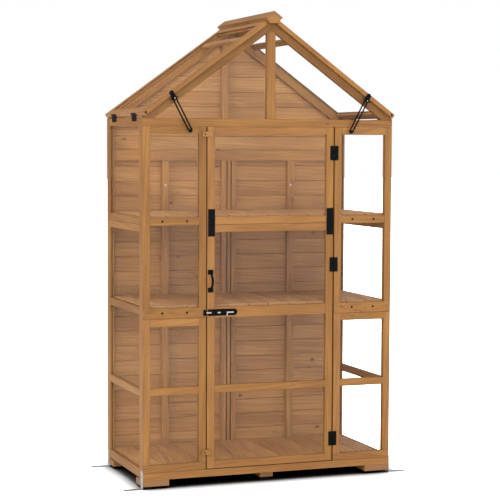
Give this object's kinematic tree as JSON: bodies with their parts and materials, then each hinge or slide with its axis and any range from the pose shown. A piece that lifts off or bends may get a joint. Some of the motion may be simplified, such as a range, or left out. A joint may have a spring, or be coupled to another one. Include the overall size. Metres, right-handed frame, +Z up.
{
  "type": "wooden mini greenhouse",
  "caption": "Tall narrow timber greenhouse with a glazed bolted door, slatted shelves, a boarded back and a pitched glazed roof whose halves lift on slotted stays.",
  "frame": {"origin": "on the ground, in the middle of the plan", "axes": "+X to the right seen from the front, +Y from the front to the back, +Z up"},
  "size_m": [1.296, 0.632, 2.012],
  "materials": {
    "oiled_wood": "satin",
    "black_steel": "satin",
    "zinc": "satin",
    "clear_sheet": "gloss",
    "black_plastic": "matte"
  },
  "bodies": {
    "frame": {"round_feet": "black_plastic", "foot_blocks": "oiled_wood", "front_apron": "oiled_wood", "floor_bearers": "oiled_wood", "floor_boards": "oiled_wood", "shelf_bearers": "oiled_wood", "middle_shelf_boards": "oiled_wood", "upper_shelf_boards": "oiled_wood", "left_light_lower_frame": "oiled_wood", "left_light_upper_frame": "oiled_wood", "right_light_lower_frame": "oiled_wood", "right_light_upper_frame": "oiled_wood", "front_panes": "clear_sheet", "front_tie_beam": "oiled_wood", "front_rafters": "oiled_wood", "king_post": "oiled_wood", "gable_panes": "clear_sheet", "left_side_lower_frame": "oiled_wood", "left_side_upper_frame": "oiled_wood", "right_side_lower_frame": "oiled_wood", "right_side_upper_frame": "oiled_wood", "side_panes": "clear_sheet", "back_planks": "oiled_wood", "back_rails": "oiled_wood", "back_battens": "oiled_wood", "back_rafters": "oiled_wood", "ridge_beam": "oiled_wood", "ridge_cap_boards": "oiled_wood", "door_hinge_fixed_leaves": "black_steel", "roof_hinge_fixed_leaves": "black_steel", "hinge_pins": "black_steel", "bolt_keeper": "black_steel", "stay_studs": "zinc", "ground_anchors": "zinc", "frame_screws": "black_steel", "batten_screws": "zinc", "fitting_screws": "black_steel"},
    "door": {"door_lower_frame": "oiled_wood", "door_upper_frame": "oiled_wood", "door_panes": "clear_sheet", "door_strap_plates": "black_steel", "door_hinge_leaves": "black_steel", "door_handle": "black_steel", "bolt_plate": "black_steel", "door_screws": "black_steel"},
    "door_bolt": {"barrel_bolt": "zinc"},
    "top_button": {"top_turn_button": "oiled_wood"},
    "bottom_button": {"bottom_turn_button": "oiled_wood"},
    "left_roof": {"left_roof_frame": "oiled_wood", "left_roof_sheet": "clear_sheet", "left_roof_hinge_leaves": "black_steel", "left_roof_screws": "black_steel"},
    "left_stay_arm": {"left_stay": "black_steel"},
    "left_knob": {"left_stay_knob": "black_plastic"},
    "right_roof": {"right_roof_frame": "oiled_wood", "right_roof_sheet": "clear_sheet", "right_roof_hinge_leaves": "black_steel", "right_roof_screws": "black_steel"},
    "right_stay_arm": {"right_stay": "black_steel"},
    "right_knob": {"right_stay_knob": "black_plastic"}
  },
  "joints": [
    {"name": "door_hinge", "type": "hinge", "parent": "frame", "child": "door", "pos_m": [0.29415, -0.2827, 0.8], "axis": [0, 0, 1], "range_deg": [0, 120]},
    {"name": "bolt_slide", "type": "slide", "parent": "door", "child": "door_bolt", "axis": [1, 0, 0], "range_m": [0, 0.024]},
    {"name": "top_button_turn", "type": "hinge", "parent": "frame", "child": "top_button", "pos_m": [-0.297, -0.2843, 1.4915], "axis": [0, 1, 0], "continuous": true},
    {"name": "bottom_button_turn", "type": "hinge", "parent": "frame", "child": "bottom_button", "pos_m": [-0.297, -0.2843, 0.144], "axis": [0, 1, 0], "continuous": true},
    {"name": "left_roof_hinge", "type": "hinge", "parent": "frame", "child": "left_roof", "pos_m": [-0.5711, 0, 1.57098], "axis": [0, -1, 0], "range_deg": [0, 50]},
    {"name": "left_stay_swing", "type": "hinge", "parent": "left_roof", "child": "left_stay_arm", "pos_m": [-0.44777, -0.295, 1.66171], "axis": [0, 1, 0], "range_deg": [0, 21.5]},
    {"name": "left_knob_turn", "type": "hinge", "parent": "frame", "child": "left_knob", "pos_m": [-0.43673, -0.301, 1.63959], "axis": [0, 1, 0], "range_deg": [-180, 180]},
    {"name": "right_roof_hinge", "type": "hinge", "parent": "frame", "child": "right_roof", "pos_m": [0.5711, 0, 1.57098], "axis": [0, 1, 0], "range_deg": [0, 50]},
    {"name": "right_stay_swing", "type": "hinge", "parent": "right_roof", "child": "right_stay_arm", "pos_m": [0.44777, -0.295, 1.66171], "axis": [0, -1, 0], "range_deg": [0, 21.5]},
    {"name": "right_knob_turn", "type": "hinge", "parent": "frame", "child": "right_knob", "pos_m": [0.43673, -0.301, 1.63959], "axis": [0, 1, 0], "range_deg": [-180, 180]}
  ],
  "couplings": [
    {"joint": "left_stay_swing", "follows": "left_roof_hinge", "ratio": 0.43},
    {"joint": "right_stay_swing", "follows": "right_roof_hinge", "ratio": 0.43}
  ]
}
